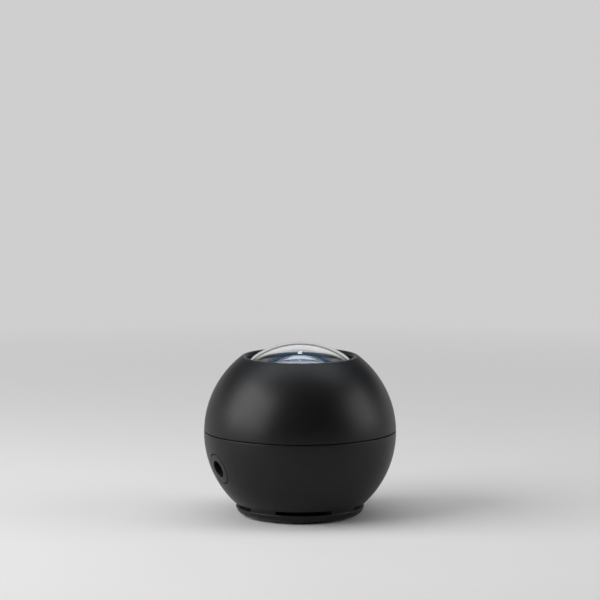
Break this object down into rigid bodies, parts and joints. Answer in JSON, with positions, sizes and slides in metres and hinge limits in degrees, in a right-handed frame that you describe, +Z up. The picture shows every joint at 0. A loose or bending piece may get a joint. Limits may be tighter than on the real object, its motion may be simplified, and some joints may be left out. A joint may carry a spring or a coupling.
{
  "type": "planetarium projector",
  "caption": "Black ball-shaped star projector on a low foot, with a glass dome over its lens, a focusing upper half, a turning star disc, a round power inlet and rear push buttons.",
  "frame": {"origin": "on the floor, under the ball's centre", "axes": "+Z up along the projection axis; -Y is the front; the two push buttons are at +Y"},
  "size_m": [0.12, 0.12, 0.1082],
  "materials": {
    "soft_black_shell": "soft-touch matte black, fine grain",
    "foot_black": "matte black",
    "black_rubber": "matte",
    "clear_dome": "polished clear",
    "lens_glass": "polished, coated",
    "black_bezel": "satin black",
    "black_inner": "matte black",
    "dark_spring_steel": "blackened",
    "grey_frame": "moulded grey",
    "white_acetal": "natural acetal",
    "star_film": "opaque film with clear stars",
    "steel": "zinc plated",
    "aluminium_sink": "black anodised edges, bare base",
    "white_board": "white solder mask",
    "lamp_package": "ceramic with phosphor dome",
    "green_board": "green solder mask",
    "black_component": "moulded",
    "capacitor_sleeve": "dark sleeve",
    "header_nylon": "ivory nylon",
    "wire_sleeve": "flexible sleeve",
    "button_black": "satin black"
  },
  "bodies": {
    "base": {"foot_dish": "foot_black", "anti_slip_ring": "black_rubber", "foot_screws": "steel", "lower_shell": "soft_black_shell", "glide_ring": "white_acetal", "turret_keepers": "grey_frame", "keeper_screws": "steel", "lens_guide": "black_inner", "chassis": "grey_frame", "chassis_screws": "steel", "rotor_clip": "dark_spring_steel", "idler_pin": "steel", "drive_motor": "steel", "motor_screws": "steel", "lamp_housing": "black_inner", "underside_screws": "steel", "condenser_lens": "lens_glass", "condenser_ring": "dark_spring_steel", "heat_sink": "aluminium_sink", "heat_sink_screws": "steel", "led_board": "white_board", "led_emitter": "lamp_package", "inlet_plate": "black_inner", "power_jack": "black_component", "jack_nut": "steel", "tact_switches": "black_component", "switch_board": "green_board", "switch_screws": "steel", "main_board": "green_board", "board_screws": "steel", "control_chip": "black_component", "led_driver_coil": "black_component", "filter_capacitor": "capacitor_sleeve", "wire_headers": "header_nylon", "wires": "wire_sleeve"},
    "upper_turret": {"upper_shell": "soft_black_shell", "dome_gasket": "black_rubber", "dome_lens": "clear_dome", "dome_spring_ring": "dark_spring_steel", "lens_bezel": "black_bezel", "cam_tube": "black_inner", "cam_screws": "steel"},
    "lens_unit": {"lens_barrel": "black_inner", "cam_pins": "steel", "front_lens": "lens_glass", "front_lens_ring": "black_inner", "lens_spacer": "black_inner", "middle_lens": "lens_glass", "rear_lens": "lens_glass", "rear_lens_ring": "black_inner"},
    "star_rotor": {"rotor_gear": "white_acetal", "star_disc": "star_film", "disc_clip": "dark_spring_steel"},
    "idler": {"idler_gear": "white_acetal"},
    "pinion": {"motor_pinion": "white_acetal", "motor_shaft": "steel"},
    "power_key": {"power_button": "button_black", "power_plunger": "white_acetal"},
    "rotation_key": {"rotation_button": "button_black", "rotation_plunger": "white_acetal"}
  },
  "joints": [
    {"name": "focus_turn", "type": "hinge", "parent": "base", "child": "upper_turret", "pos_m": [0, 0, 0.0536], "axis": [0, 0, 1], "range_deg": [-45, 45]},
    {"name": "focus_travel", "type": "slide", "parent": "base", "child": "lens_unit", "axis": [0, 0, 1], "range_m": [-0.00175, 0.00175]},
    {"name": "sky_rotation", "type": "hinge", "parent": "base", "child": "star_rotor", "pos_m": [0, 0, 0.0482], "axis": [0, 0, 1], "continuous": true},
    {"name": "idler_spin", "type": "hinge", "parent": "base", "child": "idler", "pos_m": [-0.03624, -0.00639, 0.0478], "axis": [0, 0, 1], "continuous": true},
    {"name": "pinion_spin", "type": "hinge", "parent": "base", "child": "pinion", "pos_m": [-0.04032, 0.00742, 0.0478], "axis": [0, 0, 1], "continuous": true},
    {"name": "power_press", "type": "slide", "parent": "base", "child": "power_key", "axis": [0, -0.9397, 0.342], "range_m": [0, 0.0006], "stiffness_N_per_m": 800, "springref_m": -0.0006},
    {"name": "rotation_press", "type": "slide", "parent": "base", "child": "rotation_key", "axis": [0, -0.9397, 0.342], "range_m": [0, 0.0006], "stiffness_N_per_m": 800, "springref_m": -0.0006}
  ],
  "couplings": [
    {"joint": "focus_travel", "follows": "focus_turn", "m_per_rad": -0.0022282},
    {"joint": "idler_spin", "follows": "sky_rotation", "ratio": -3.6},
    {"joint": "pinion_spin", "follows": "sky_rotation", "ratio": 4.5}
  ]
}
